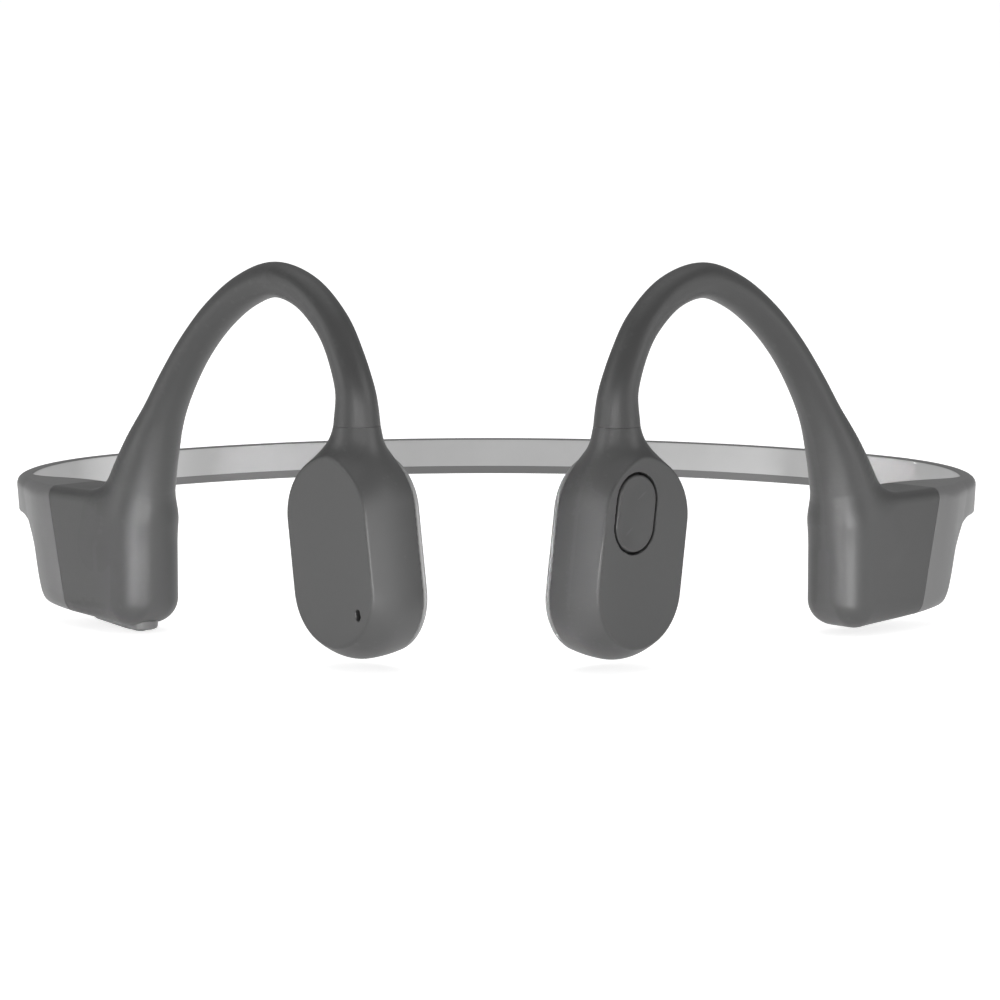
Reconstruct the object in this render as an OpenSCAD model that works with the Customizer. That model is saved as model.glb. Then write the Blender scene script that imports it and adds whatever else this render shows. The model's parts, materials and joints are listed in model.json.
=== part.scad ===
// Bone conduction headphones with a rear neckband, at rest (worn upright).
// X runs across the head (wearer's left is +X), the wearer faces -Y, Z is up.
// The origin is the centre of the footprint, level with the lowest point.
// Each arm is modelled in its own frame: x runs back along the arm, y points
// to the head, z is up. The left arm is the pattern and the right one mirrors it.

/* [Arms] */
// Angle of each arm from the line across the head
arm_angle = 45; // [44:0.5:46]
// Distance of each transducer's centre from the middle plane
transducer_x = 15.85; // [15.5:0.05:16.2]
// Distance of each transducer's centre behind the front of the set
transducer_y = 8.9; // [8.5:0.1:9.3]
// Smallest radius of the ear hook
hook_r = 2.15; // [2:0.05:2.3]

/* [Transducers] */
// Width of the contact pad
pad_w = 14.6; // [14.2:0.1:14.8]
// Height of the contact pad
pad_h = 24.6; // [24.2:0.1:24.8]
// Forward tilt of the transducer's lower end
pad_tilt = 8; // [7:0.5:10]
// Thickness of the transducer, from contact face to outer face
puck_t = 8.9; // [8.7:0.05:9]
// Wall of every housing
wall = 1.2; // [1.15:0.05:1.2]

/* [Pods] */
// Thickness of a pod across the head
pod_t = 10; // [10:0.1:10.4]
// Front edge of a pod along the arm
pod_front = 37.2; // [37:0.1:37.4]
// Level of the top of a pod and of the neckband
top_z = 18.6; // [18.4:0.1:18.8]
// Level of the front of a pod's underside
pod_bottom = 1.5; // [1.4:0.1:1.6]

/* [Neckband] */
// Thickness of the neckband
band_t = 2.5; // [2.4:0.1:2.8]
// Height of the neckband
band_h = 5; // [4.9:0.1:5.2]
// Radius of the bend where the arm turns into the band
corner_r = 8; // [7.5:0.5:9]
// Radius of the band at the side of the head
side_r = 30; // [28:1:31]
// Turn of the side stretch
side_turn = 47; // [46:1:48]

/* [Hidden] */
$fn = 48;

skin = "#4c4d4f";          // dark grey silicone of the hooks and pods
shell_grey = "#4a4b4d";    // dark grey housings
band_grey = "#77787a";     // lighter grey of the band and its ends
pad_grey = "#6d6e70";
metal = "#b9bcc0";

centre_y = -51.59;         // brings the middle of the footprint to y = 0
depth_z = 14.5;            // level of the transducer's centre
tilt_shift = 0.3;          // transducer's centre along the arm
puck_shift = 0.4;          // transducer's centre towards the head
seam_z = 30.3;             // level where the hook meets the transducer's neck
pod_split_top = 54.1;      // where the pod ends and the band's end piece starts, at the top
pod_split_bottom = 50.2;   // the same at the underside
taper_start = 55.2;        // where the end piece starts to thin to the band
split_lean = (pod_split_top - pod_split_bottom) / (top_z - pod_bottom);
key_clear = 0.15;          // gap round a moving key
key_pitch = 5.1;
key_centre = 44.4;         // middle of the volume keys along the arm

// ---------- small helpers ----------
function mix(a, b, t) = a + (b - a) * t;
function clamp01(t) = min(max(t, 0), 1);
function smooth(t) = let (c = clamp01(t)) c * c * (3 - 2 * c);
// Point of a Catmull-Rom curve through list p, at parameter u from 0 to len(p) - 1
function curve_at(p, u) =
    let (n = len(p), i = max(min(floor(u), n - 2), 0), t = u - i,
         p1 = p[i], p2 = p[i + 1],
         p0 = i > 0 ? p[i - 1] : 2 * p1 - p2,
         p3 = i < n - 2 ? p[i + 2] : 2 * p2 - p1)
    0.5 * (2 * p1 + (p2 - p0) * t + (2 * p0 - 5 * p1 + 4 * p2 - p3) * t * t
           + (3 * p1 - p0 - 3 * p2 + p3) * t * t * t);

// Rounded rectangle as [q, z] points, from its half width, levels and corner radii
function round_section(half, low, high, r_low, r_high, n) =
    [for (c = [0:3], k = [0:n - 1])
        let (r = c < 2 ? r_high : r_low,
             a = 90 * (c + k / (n - 1)),
             side = c == 0 || c == 3 ? 1 : -1)
        [side * (half - r) + r * cos(a), (c < 2 ? high - r : low + r) + r * sin(a)]];

// Two triangles between neighbouring points a, b of one ring and c, d of the next
function patch(a, b, c, d) = [[a, b, d], [a, d, c]];

// Solid through a list of rings, each with the same number of points
module loft(rings) {
    n = len(rings[0]);
    m = len(rings);
    polyhedron(
        [for (r = rings) each r],
        concat(
            [[for (i = [0:n - 1]) n - 1 - i]],
            [for (j = [0:m - 2], i = [0:n - 1]) let (k = (i + 1) % n)
                each patch(j * n + i, j * n + k, (j + 1) * n + i, (j + 1) * n + k)],
            [[for (i = [0:n - 1]) (m - 1) * n + i]]));
}

// Tube between outer and inner rings, open at both ends
module tube_loft(outer, inner) {
    n = len(outer[0]);
    m = len(outer);
    s = n * m;
    e = (m - 1) * n;
    polyhedron(
        concat([for (r = outer) each r], [for (r = inner) each r]),
        concat(
            [for (j = [0:m - 2], i = [0:n - 1]) let (k = (i + 1) % n)
                each patch(j * n + i, j * n + k, (j + 1) * n + i, (j + 1) * n + k)],
            [for (j = [0:m - 2], i = [0:n - 1]) let (k = (i + 1) % n)
                each patch(s + j * n + k, s + j * n + i, s + (j + 1) * n + k, s + (j + 1) * n + i)],
            [for (i = [0:n - 1]) let (k = (i + 1) % n) each patch(s + i, s + k, i, k)],
            [for (i = [0:n - 1]) let (k = (i + 1) % n)
                each patch(e + i, e + k, s + e + i, s + e + k)]));
}

// ---------- plan line of the set ----------
arm_start = [transducer_x, transducer_y + centre_y];
corner_x = 62.1;           // widest point of the centre line
arm_dir = [cos(arm_angle), sin(arm_angle)];
corner_turn = 90 - arm_angle;
straight_len = (corner_x - transducer_x) / cos(arm_angle)
    - corner_r * tan(corner_turn / 2);
corner_len = corner_r * corner_turn * PI / 180;
side_len = side_r * side_turn * PI / 180;
back_turn = 90 - side_turn;
back_r = (corner_x - side_r * (1 - cos(side_turn))) / sin(back_turn);
back_len = back_r * back_turn * PI / 180;
line_len = straight_len + corner_len + side_len + back_len;

function arc_end(p, h, r, a) = [p[0] + r * (sin(h + a) - sin(h)), p[1] - r * (cos(h + a) - cos(h))];
corner_start = arm_start + straight_len * arm_dir;
side_start = arc_end(corner_start, arm_angle, corner_r, corner_turn);
back_start = arc_end(side_start, 90, side_r, side_turn);

// [x, y, heading] of the centre line, at distance t from the left transducer
function plan_at(t) =
    t > line_len ? let (p = plan_at(2 * line_len - t)) [-p[0], p[1], 360 - p[2]]
    : left_plan_at(t);
function left_plan_at(t) =
    t < straight_len ? concat(arm_start + t * arm_dir, arm_angle)
    : t < straight_len + corner_len ?
        let (a = (t - straight_len) * 180 / PI / corner_r)
        concat(arc_end(corner_start, arm_angle, corner_r, a), arm_angle + a)
    : t < straight_len + corner_len + side_len ?
        let (a = (t - straight_len - corner_len) * 180 / PI / side_r)
        concat(arc_end(side_start, 90, side_r, a), 90 + a)
    :   let (a = (t - straight_len - corner_len - side_len) * 180 / PI / back_r)
        concat(arc_end(back_start, 90 + side_turn, back_r, a), 90 + side_turn + a);

// Point of the set: t along the line, q outward from it, z up from the base level
function place(t, q, z) =
    let (p = plan_at(t)) [p[0] + q * sin(p[2]), p[1] - q * cos(p[2]), z + base_z];

// Flex axis: a vertical line through the band, one on each side of the middle
flex_x = 32;
flex_t = line_len - asin(flex_x / back_r) * PI / 180 * back_r;
flex_point = plan_at(flex_t);
knuckle_r = band_t / 2 + 0.1;
knuckle_gap = 0.1;
knuckle_in = 0.25;         // step from the band's edge to the knuckle's end
split_gap = 0.04;          // joint line between a pod and the band's end piece

// ---------- band ----------
corner_steps = 4;
// Half thickness and underside of the band's end piece and band, at distance t
end_taper = 13;
pod_r_low = 3.4;           // rounding of a pod's lower edges at its front
pod_r_back = 1.8;          // the same at its back
pod_r_high = 1.5;          // rounding of its upper edges
band_r = 0.9;
underside_x = 41;          // where the underside starts to rise towards the back
underside_end = 57;
underside_slope = 0.1;
step_start = 57.4;         // where the end piece rises to the band
step_len = 8.6;
function taper(t) = smooth((t - taper_start) / end_taper);
function low_round(x) = mix(pod_r_low, pod_r_back, smooth((x - 40) / 12));
function sleeve_half(t) = mix(pod_t / 2, band_t / 2, taper(t));
function underside(t) =
    pod_bottom + underside_slope * (min(max(t, underside_x), underside_end) - underside_x);
// Rounded at its foot, steep behind, then a long hollow curve under the band
function step_rise(u) = (1 - pow(1 - clamp01(u), 3)) * smooth(4 * u);
function sleeve_bottom(t) =
    mix(underside(t), top_z - band_h, step_rise((t - step_start) / step_len));
function sleeve_ring(t, half, low, high, r_low, r_high) =
    let (lean = split_lean * (1 - clamp01((t - pod_split_top) / 7)))
    [for (p = round_section(half, low, high, r_low, r_high, corner_steps))
        place(t - lean * (top_z - p[1]), p[0], p[1])];
function sleeve_outer(t) =
    sleeve_ring(t, sleeve_half(t), sleeve_bottom(t), top_z,
                mix(low_round(t), band_r, taper(t)), mix(pod_r_high, band_r, taper(t)));
// Channel for the wire and lead: half its width, and its levels
channel_half = 0.66;
channel_low = top_z - band_h / 2 - 1.35;
channel_high = top_z - band_h / 2 + 1.35;
function sleeve_inner(t) =
    let (half = max(sleeve_half(t) - 1.3, channel_half), r = mix(1.8, 0.5, taper(t)))
    sleeve_ring(t, half, min(sleeve_bottom(t) + wall + 0.6, channel_low), channel_high,
                min(r, half * 0.8), min(r, half * 0.8));

module both_sides(side) {
    mirror([side == "right" ? 1 : 0, 0, 0]) children();
}

module side_sleeve(side) {
    ends = [for (i = [0:18]) pod_split_top + split_gap + i * 0.8];
    along = [for (i = [0:12]) mix(pod_split_top + 15.6, flex_t, i / 12)];
    stations = concat(ends, along);
    color(band_grey) both_sides(side) difference() {
        tube_loft([for (t = stations) sleeve_outer(t)], [for (t = stations) sleeve_inner(t)]);
        translate([flex_point[0], flex_point[1], 0])
            cylinder(r = knuckle_r + knuckle_gap, h = 30);
    }
}

module back_sleeve() {
    n = 16;
    stations = [for (i = [0:n]) mix(flex_t, 2 * line_len - flex_t, i / n)];
    color(band_grey) union() {
        tube_loft([for (t = stations) sleeve_outer(t)], [for (t = stations) sleeve_inner(t)]);
        for (side = ["left", "right"]) both_sides(side)
            translate([flex_point[0], flex_point[1], base_z + top_z - band_h + knuckle_in])
                cylinder(r = knuckle_r, h = band_h - 2 * knuckle_in);
    }
}

// Round core along the band between two distances, offset up from its middle
core_sides = 8;
wire_r = 0.5;
lead_r = 0.45;
core_up = 0.68;
knuckle_clear = knuckle_r + 0.4;
core_start = 49.5;
function core_ring(t, r, up) =
    [for (k = [0:core_sides - 1])
        let (a = 360 * (k + 0.5) / core_sides)
        place(t, r * cos(a), top_z - band_h / 2 + up + r * sin(a))];

module core(r, up, from, to, n) {
    loft([for (i = [0:n]) core_ring(mix(from, to, i / n), r, up)]);
}
module side_core(side, r, up) {
    both_sides(side) core(r, up, core_start, flex_t - knuckle_clear, 36);
}
module back_core(r, up) {
    core(r, up, flex_t + knuckle_clear, 2 * line_len - flex_t - knuckle_clear, 20);
}

module band_back_wire() { color(metal) back_core(wire_r, core_up); }
module band_back_lead() { color("black") back_core(lead_r, -core_up); }
module band_wire(side) { color(metal) side_core(side, wire_r, core_up); }
module band_lead(side) { color("black") side_core(side, lead_r, -core_up); }

// ---------- arm frame ----------
module arm(side) {
    both_sides(side)
        translate([arm_start[0], arm_start[1], base_z])
            rotate([0, 0, arm_angle])
                children();
}

// Centre line of the ear hook in the arm's own x and z, from the neck to the pod
hook_line = [
    [0.2, seam_z], [0.2, 34.5], [1.7, 38.6], [4.3, 42.5], [8.9, 45.95], [14.6, 47.25],
    [20.2, 45.5], [25.4, 42.2], [29.8, 38.1], [33.4, 33.6], [36.4, 28.9], [39.2, 23.6],
    [41.7, 17.5], [44.3, 12]
];
// Radius along the arm and across it, at the same stations
hook_size = [
    [2.8, 2.95], [2.4, 2.5], [2.12, 2.3], [2.1, 2.25], [2.15, 2.25], [2.2, 2.25],
    [2.2, 2.25], [2.15, 2.3], [2.15, 2.35], [2.3, 2.5], [2.65, 2.85], [3.6, 3.75],
    [5, 4.7], [5.6, 4.6]
];
hook_scale = hook_r / 2.15; // the sizes above are those of a 2.15 mm hook
hook_steps = 3;
hook_last = len(hook_line) - 1;
hook_n = hook_last * hook_steps;
// The front leg stands a little towards the head at the seam
hook_aside = 0.4;
function hook_shift(u) = u < 5 ? hook_aside * smooth((37.3 - hook_point(u)[1]) / 7) : 0;
function hook_point(u) = curve_at(hook_line, u);
function hook_radii(u) = curve_at(hook_size, u) * hook_scale;
function hook_angle(u) =
    let (c = max(min(u, hook_last - 0.02), 0.02), a = hook_point(c - 0.02), b = hook_point(c + 0.02))
    atan2(b[1] - a[1], b[0] - a[0]);

// Oval ring square to the hook's line, cx along the arm and cy across it, moved aside by dy
function hook_ring(u, cx, cy, dy, sides) =
    let (p = hook_point(u), a = hook_angle(u))
    [for (k = [0:sides - 1])
        let (f = 360 * (k + 0.5) / sides)
        [p[0] - cx * cos(f) * sin(a), dy + cy * sin(f), p[1] + cx * cos(f) * cos(a)]];

hook_sides = 20;
channel_r = 1.2;
module hook_solid() {
    loft([for (i = [0:hook_n])
        let (u = i / hook_steps, r = hook_radii(u)) hook_ring(u, r[0], r[1], hook_shift(u), hook_sides)]);
}
module hook_channel() {
    loft([for (i = [0:hook_n])
        hook_ring(i / hook_steps + (i == 0 ? -0.02 : 0), channel_r, channel_r, 0, 10)]);
}

// ---------- pod ----------
pod_round = 4.4;           // rounding of the front edge in plan
pod_foot_r = 4;            // rounding of the lower front corner
function pod_half(x) =
    let (d = clamp01((pod_front + pod_round - x) / pod_round))
    pod_t / 2 * sqrt(max(1 - d * d, 0.001));
function pod_low(x) =
    let (d = clamp01((pod_front + pod_foot_r - x) / pod_foot_r))
    underside(x) + pod_foot_r * (1 - sqrt(max(1 - d * d, 0)));
function pod_ring(x) =
    let (half = pod_half(x),
         lean = split_lean * clamp01((x - pod_front - 4) / (pod_split_top - pod_front - 4)))
    [for (p = round_section(half, pod_low(x), top_z, min(low_round(x), 0.9 * half),
                            min(pod_r_high, 0.9 * half), 6))
        [x - lean * (top_z - p[1]), -p[0], p[1]]];

module pod_solid() {
    n = 12;
    loft([for (i = [0:n])
        pod_ring(mix(pod_front + 0.25, pod_split_top, pow(i / n, 1.5)))]);
}

cavity_front = 40.1;
cavity_back = 49.2;
cavity_low = 4.2;
cavity_high = 16;
cover_y = 3.7;             // inner face of the pod's cover
cavity_outer = -3.6;
cover_front = 41.6;
cover_back = 49.9;
cover_low = 3.6;
cover_high = 16.8;
cover_ledge = 0.9;
cover_r = 1.8;

// Rounded block in the arm's x and z, between two y levels
module block(x0, x1, z0, z1, y0, y1, r) {
    translate([0, y1, 0]) rotate([90, 0, 0])
        linear_extrude(y1 - y0)
            union() {
                translate([x0 + r, z0]) square([x1 - x0 - 2 * r, z1 - z0]);
                translate([x0, z0 + r]) square([x1 - x0, z1 - z0 - 2 * r]);
                for (x = [x0 + r, x1 - r], z = [z0 + r, z1 - r])
                    translate([x, z]) circle(r);
            }
}

// Upright capsule outline, w wide and h high, between two y levels
module capsule(w, h, y0, y1) {
    translate([0, y1, 0]) rotate([90, 0, 0])
        linear_extrude(y1 - y0)
            union() {
                square([w, h - w], center = true);
                for (s = [-1, 1]) translate([0, s * (h - w) / 2]) circle(d = w);
            }
}

// Capsule lying along x, for the keys in the underside, between two z levels
module flat_capsule(w, h, z0, z1) {
    translate([0, 0, z0]) linear_extrude(z1 - z0)
        union() {
            square([w - h, h], center = true);
            for (s = [-1, 1]) translate([s * (w - h) / 2, 0]) circle(d = h);
        }
}

module hook_moulding(side) {
    // The resize changes nothing but keeps the moulding one mesh
    color(skin) resize([0, 0, 0]) arm(side) difference() {
        union() {
            hook_solid();
            pod_solid();
        }
        hook_channel();
        block(cavity_front, cavity_back, cavity_low, cavity_high, cavity_outer, cover_y - 0.6, 1.2);
        block(cover_front + cover_ledge, cavity_back, cavity_low, cavity_high, 0, 6, 1.2);
        block(cover_front, cover_back, cover_low, cover_high, cover_y, 6, cover_r);
        block(cavity_back - 1, pod_split_top + 2, channel_low, channel_high,
              -channel_half, channel_half, 0.3);
        if (side == "right") key_slot();
    }
}

module pod_cover(side) {
    gap = 0.06;
    color(shell_grey) arm(side) difference() {
        block(cover_front + gap, cover_back - gap, cover_low + gap, cover_high - gap,
              cover_y, pod_t / 2 - 0.05, cover_r);
        if (side == "right") translate([port_x, 0, port_z]) rotate([0, 90, 0])
            capsule(port_d + 0.1, port_w + 0.1, 0, 6);
    }
}

// Core in the hook's channel, beside its middle
core_aside = 0.53;
hook_core_end = 12.3;
module hook_core(side, r, aside) {
    n = 46;
    arm(side) loft([for (i = [0:n])
        hook_ring(mix(0.04, hook_core_end, i / n), r, r, aside, core_sides)]);
}
module hook_wire(side) { color(metal) hook_core(side, wire_r, -core_aside); }
module hook_lead(side) { color("black") hook_core(side, lead_r, core_aside); }

// ---------- transducer, in its own frame: z along its height, -y is the outer face ----------
module puck(side) {
    arm(side) translate([tilt_shift, puck_shift, depth_z]) rotate([0, pad_tilt, 0]) children();
}
pad_t = 0.7;
gasket_t = 0.2;
outer_y = -puck_t / 2;
pad_y = puck_t / 2 - pad_t;
rim_y = pad_y - gasket_t;
inner_y = outer_y + wall;

// The outer face is smaller than the shell and a little above its middle
face_w = 14.3;
face_h = 22.9;
face_x = 0;
face_z = 0.5;
bulge_w = 15.2;            // size of the shell at its widest
bulge_h = 25.4;
rim_step = 0.2;            // how much the shell overhangs the pad
bulge_y = 4.5;             // distance of the widest part from the outer face
bulge_steps = 3;
module puck_body() {
    hull() {
        capsule(pad_w + rim_step, pad_h + rim_step, rim_y - 0.5, rim_y);
        for (i = [0:bulge_steps]) {
            d = pow(1 - i / bulge_steps, 2);
            y = outer_y + bulge_y * i / bulge_steps;
            translate([face_x * d, 0, face_z * d])
                capsule(mix(bulge_w, face_w, d), mix(bulge_h, face_h, d), y, y + 0.1);
        }
    }
}
cavity_w = 12;
cavity_h = 21.6;
cavity_up = 0.3;
module puck_cavity() {
    translate([0, 0, cavity_up]) capsule(cavity_w, cavity_h, inner_y, rim_y + 1);
}

// Neck from the transducer up to the seam, in the arm's frame:
// [x, z, radius along, radius across, y]
neck = [
    [1.9, 20, 5.9, 3.6, 0.5], [1.6, 23, 5.6, 3.7, 0.5], [1.2, 25, 4.9, 3.7, 0.55],
    [0.7, 27, 3.9, 3.5, 0.5], [0.35, 28.8, 3.25, 3.2, 0.45],
    [0.2, seam_z - 0.04, 2.8, 2.95, hook_aside]
];
// Passage for the wire and lead down the neck: [x, z]
neck_passage = [[1.8, 19], [1, 24], [0.35, 27.5], [0.2, seam_z + 0.3]];
function level_ring(x, z, rx, ry, y, sides) =
    [for (k = [0:sides - 1])
        let (a = 360 * (k + 0.5) / sides)
        [x + rx * cos(a), y - ry * sin(a), z]];

button_x = -2;
button_z = 5.4;
button_w = 6.4;
button_h = 9.4;
button_gap = 0.25;
mic_x = -4.1;
mic_z = -7.1;

module transducer_shell(side) {
    // The resize changes nothing but keeps the shell one mesh
    color(shell_grey) resize([0, 0, 0]) difference() {
        union() {
            puck(side) puck_body();
            arm(side) loft([for (i = [0:2 * (len(neck) - 1)])
                let (s = curve_at(neck, i / 2)) level_ring(s[0], s[1], s[2], s[3], s[4], 24)]);
        }
        puck(side) puck_cavity();
        arm(side) loft([for (p = neck_passage) level_ring(p[0], p[1], channel_r, channel_r, 0, 12)]);
        puck(side) {
            if (side == "left") translate([button_x, 0, button_z])
                capsule(button_w + 2 * button_gap, button_h + 2 * button_gap, outer_y - 1, inner_y + 0.5);
            if (side == "right") translate([mic_x, 0, mic_z])
                capsule(0.8, 1.3, outer_y - 1, inner_y + 0.5);
        }
    }
}

module contact_pad(side) {
    color(pad_grey) puck(side) capsule(pad_w, pad_h, pad_y, puck_t / 2);
}

module pad_gasket(side) {
    color("black") puck(side) difference() {
        capsule(pad_w - 0.6, pad_h - 0.6, rim_y, pad_y);
        capsule(cavity_w, pad_h - 2 * wall, rim_y - 1, pad_y + 1);
    }
}

// Driver, turned about the y axis of the transducer
driver_x = 0.3;
driver_z = -2;
module driver(side) {
    puck(side) translate([driver_x, 0, driver_z]) rotate([-90, 0, 0]) children();
}
yoke_r = 4.7;
yoke_wall = 0.75;
yoke_back = -2.7;
magnet_r = 2.7;
coil_in = 2.95;
coil_out = 3.6;
spider_y = 1.5;
spider_t = 0.35;
post_r = 1.15;

module yoke(side) {
    color(metal) driver(side) difference() {
        translate([0, 0, yoke_back]) cylinder(r = yoke_r, h = spider_y - yoke_back);
        translate([0, 0, yoke_back + 1]) cylinder(r = yoke_r - yoke_wall, h = 6);
    }
}
module magnet(side) {
    color("dimgray") driver(side) translate([0, 0, yoke_back + 1]) cylinder(r = magnet_r, h = 1.8);
}
module top_plate(side) {
    color(metal) driver(side) translate([0, 0, yoke_back + 2.8]) cylinder(r = magnet_r, h = 0.7);
}
module coil(side) {
    color("#b5722f") driver(side) difference() {
        translate([0, 0, -1.4]) cylinder(r = coil_out, h = spider_y + 1.4);
        translate([0, 0, -2]) cylinder(r = coil_in, h = 5);
    }
}
module spider(side) {
    color("#c9a25a") driver(side) translate([0, 0, spider_y]) linear_extrude(spider_t) union() {
        difference() {
            circle(r = yoke_r);
            circle(r = yoke_r - yoke_wall);
        }
        difference() {
            circle(r = coil_out);
            circle(r = post_r + 0.02);
        }
        for (a = [0:120:240]) rotate(a) translate([3.4, -0.5]) square([0.8, 1]);
    }
}
module post(side) {
    top = spider_y + spider_t;
    color("#d8d4c8") driver(side) union() {
        translate([0, 0, top]) cylinder(r = 2.4, h = pad_y - top);
        translate([0, 0, spider_y]) cylinder(r = post_r, h = spider_t + 0.2);
    }
}

// ---------- multifunction button ----------
module at_button() {
    puck("left") translate([button_x, 0, button_z]) children();
}
module multifunction_button() {
    color("#4f5052") at_button() hull() {
        capsule(button_w, button_h, outer_y + 0.1, inner_y - 0.35);
        capsule(button_w - 0.8, button_h - 0.8, outer_y - 0.35, outer_y);
    }
}
module button_membrane() {
    // Kept clear of the shell's wall, which comes close at the button's upper front
    color("black") at_button() translate([0.35, 0, -0.2])
        capsule(button_w + 0.8, button_h + 0.8, inner_y, inner_y + 0.25);
}
module button_switch() {
    color("silver") at_button() translate([1.2, 0, 1.6]) {
        block(-1.5, 1.5, -1.5, 1.5, inner_y + 0.75, inner_y + 1.7, 0.3);
        translate([0, inner_y + 0.76, 0]) rotate([90, 0, 0]) cylinder(r = 0.7, h = 0.4);
    }
}
module button_board() {
    color("darkgreen") at_button() block(-0.9, 3.6, -0.1, 3.6, inner_y + 1.7, inner_y + 2.1, 0.4);
}

// ---------- electronics in the pods ----------
module battery() {
    color("lightsteelblue") arm("left")
        block(cavity_front + 0.5, cavity_back - 0.5, cavity_low + 0.5, cavity_high - 2.4, -2.9, 2.4, 1.2);
}
module battery_board() {
    color("darkgreen") arm("left")
        block(cavity_front + 3.6, cavity_back - 0.7, cavity_high - 2.1, cavity_high - 0.7, -2.6, 2.2, 0.3);
}
module main_board() {
    color("darkgreen") arm("right")
        block(cavity_front + 0.3, cavity_back - 0.3, 8.6, cavity_high - 0.4, 0.6, 1.3, 0.5);
}
module radio_shield() {
    color(metal) arm("right") block(42.6, 48.2, 9.4, 14.6, 1.3, 2.5, 0.4);
}
module antenna() {
    color("#c58b3b") arm("right")
        block(cavity_front + 2.8, cavity_back - 0.6, 9, cavity_high - 0.6, -3.3, -3.05, 0.4);
}

// ---------- volume keys, bezel and light in the right pod's underside ----------
bezel_w = 10.2;
bezel_d = 4.8;
bezel_drop = 0.45;
bezel_high = 0.7;
bezel_top = 2;
key_w = 3.3;
key_d = 2.9;
key_cap_w = 2.8;
key_cap_d = 2.2;
key_step = 0.6;            // level of the shoulder that holds a key in the bezel
key_top = 2.2;
key_nub = 0.3;
slot_w = 9.2;
slot_d = 3.6;
light_d = 0.8;
switch_z = 3.3;            // underside of the switches
switch_t = 0.9;
// The keys lie along the sloping underside, and levels here are measured from it
key_tilt = atan(underside_slope);
key_base = underside(key_centre);
key_drop = 0.85;
// The front key's lower edge is the lowest point of the set, so it sets the base level
base_z = (key_pitch + key_cap_w) / 2 * sin(key_tilt) + key_drop * cos(key_tilt) - key_base;
module in_keys() {
    translate([key_centre, 0, key_base]) rotate([0, -key_tilt, 0]) children();
}
module at_keys() {
    arm("right") in_keys() children();
}
module each_key() {
    at_keys() for (s = [-1, 1]) translate([s * key_pitch / 2, 0, 0]) children();
}
module key_slot() {
    in_keys() {
        flat_capsule(slot_w, slot_d, -3, cavity_low);
        flat_capsule(bezel_w + 0.06, bezel_d + 0.06, -3, bezel_high + 0.03);
    }
}
module volume_key(s) {
    color("#5a5b5d") at_keys() translate([s * key_pitch / 2, 0, 0]) union() {
        flat_capsule(key_cap_w, key_cap_d, -key_drop, key_step + 0.1);
        flat_capsule(key_w, key_d, key_step + 0.1, key_top);
        translate([0, 0, key_top]) cylinder(d = 1.4, h = key_nub);
    }
}
module volume_up_key() { volume_key(1); }
module volume_down_key() { volume_key(-1); }
module key_bezel() {
    color("#5f6062") difference() {
        at_keys() {
            flat_capsule(bezel_w, bezel_d, -bezel_drop, bezel_high);
            flat_capsule(slot_w - 0.06, slot_d - 0.06, 0, bezel_top);
        }
        each_key() flat_capsule(key_cap_w + 2 * key_clear, key_cap_d + 2 * key_clear, -2, 3);
        each_key() flat_capsule(key_w + 2 * key_clear, key_d + 2 * key_clear, key_step, 3);
        at_keys() translate([0, 0, -2]) cylinder(d = light_d + 0.04, h = 6);
    }
}
module key_switches() {
    color("silver") each_key() union() {
        flat_capsule(2.2, 2, switch_z, switch_z + switch_t);
        translate([0, 0, switch_z - 0.4]) cylinder(r = 0.5, h = 0.5);
    }
}
module key_board() {
    color("darkgreen") at_keys()
        flat_capsule(7.4, 3.2, switch_z + switch_t, switch_z + switch_t + 0.5);
}
module status_light_pipe() {
    low = -bezel_drop + 0.05;
    color("whitesmoke") at_keys() translate([0, 0, low])
        cylinder(d = light_d, h = switch_z + switch_t - low);
}

// ---------- charging port in the right pod's cover ----------
port_x = 45.9;
port_z = 6.6;
port_w = 6.4;
port_d = 3.6;
port_face = 4.55;
pin_pitch = 3.4;
module at_port() {
    arm("right") translate([port_x, 0, port_z]) rotate([0, 90, 0]) children();
}
module charging_port() {
    color("#222325") at_port() difference() {
        capsule(port_d, port_w, 2.9, port_face);
        for (s = [-1, 1]) translate([0, 5, s * pin_pitch / 2]) rotate([90, 0, 0])
            cylinder(d = 1.52, h = 10);
    }
}
module charging_contacts() {
    color("gold") at_port() for (s = [-1, 1])
        translate([0, port_face - 0.05, s * pin_pitch / 2]) rotate([90, 0, 0])
            cylinder(d = 1.5, h = 1.6);
}
module charging_magnets() {
    color("gainsboro") at_port() for (s = [-1, 1])
        translate([0, 2.85, s * 2.3]) rotate([90, 0, 0]) cylinder(d = 1.6, h = 1.2);
}

// ---------- microphone behind the right transducer's outer face ----------
module microphone_mesh() {
    color("black") puck("right") translate([mic_x, 0, mic_z])
        capsule(1.1, 1.7, inner_y, inner_y + 0.15);
}
module microphone() {
    color("silver") puck("right") translate([mic_x, 0, mic_z])
        block(-0.4, 1.3, -0.7, 1.3, inner_y + 0.15, inner_y + 1, 0.2);
}

back_sleeve();  // band_back_sleeve
band_back_wire();
band_back_lead();
side_sleeve("left");  // left_band_sleeve
band_wire("left");  // left_band_wire
band_lead("left");  // left_band_lead
side_sleeve("right");  // right_band_sleeve
band_wire("right");  // right_band_wire
band_lead("right");  // right_band_lead
hook_moulding("left");  // left_hook_moulding
hook_wire("left");  // left_hook_wire
hook_lead("left");  // left_hook_lead
pod_cover("left");  // left_pod_cover
hook_moulding("right");  // right_hook_moulding
hook_wire("right");  // right_hook_wire
hook_lead("right");  // right_hook_lead
pod_cover("right");  // right_pod_cover
transducer_shell("left");  // left_transducer_shell
contact_pad("left");  // left_contact_pad
pad_gasket("left");  // left_pad_gasket
yoke("left");  // left_driver_yoke
magnet("left");  // left_driver_magnet
top_plate("left");  // left_driver_top_plate
coil("left");  // left_driver_coil
spider("left");  // left_driver_spider
post("left");  // left_driver_post
transducer_shell("right");  // right_transducer_shell
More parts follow.
